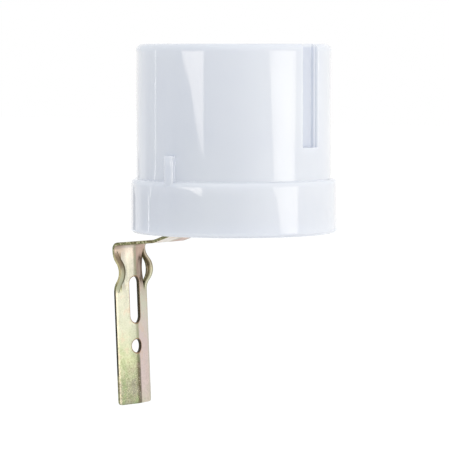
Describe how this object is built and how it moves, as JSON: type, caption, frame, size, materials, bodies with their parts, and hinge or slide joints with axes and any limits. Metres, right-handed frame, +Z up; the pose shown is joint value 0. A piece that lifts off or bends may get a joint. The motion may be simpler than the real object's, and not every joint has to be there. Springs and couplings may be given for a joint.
{
  "type": "dusk to dawn photocell sensor",
  "caption": "Outdoor dusk to dawn light switch: a round white moulded cover with a stepped skirt on a base, clamped to a folded sheet steel bracket with a fixing slot and hole.",
  "frame": {"origin": "centre of the bracket's fixing hole, at mid-sheet on the fold", "axes": "+Z up along the cover's axis, +X from the fixing hole towards the cover"},
  "size_m": [0.0926, 0.078, 0.1409],
  "materials": {
    "cover_plastic": "glossy moulded",
    "base_plastic": "satin moulded",
    "yellow_zinc_sheet": "yellow passivated zinc",
    "zinc_fastener": "bright zinc",
    "board_laminate": "paper laminate",
    "relay_case": "moulded",
    "film_case": "dipped",
    "can_sleeve": "shrink sleeve",
    "black_epoxy": "moulded epoxy",
    "diode_glass": "glossy",
    "resistor_coat": "lacquered",
    "varistor_coat": "dipped epoxy",
    "cell_resin": "clear coat",
    "terminal_brass": "tinned brass"
  },
  "bodies": {
    "bracket": {"bracket": "yellow_zinc_sheet"},
    "housing": {"cover": "cover_plastic", "base": "base_plastic", "bracket_screw": "zinc_fastener", "flat_washer": "zinc_fastener", "spring_washer": "zinc_fastener", "bracket_nut": "zinc_fastener", "circuit_board": "board_laminate", "board_screws": "zinc_fastener", "relay": "relay_case", "film_capacitor": "film_case", "smoothing_capacitor": "can_sleeve", "delay_capacitor": "can_sleeve", "rectifier_diodes": "black_epoxy", "zener_diode": "diode_glass", "coil_diode": "diode_glass", "signal_resistors": "resistor_coat", "series_resistor": "resistor_coat", "varistor": "varistor_coat", "transistor": "black_epoxy", "light_sensor": "cell_resin", "lead_terminals": "terminal_brass"}
  },
  "joints": [
    {"name": "housing_swivel", "type": "hinge", "parent": "bracket", "child": "housing", "pos_m": [0.04915, 0, 0.0497], "axis": [0, 0, 1], "range_deg": [-120, 120]}
  ]
}
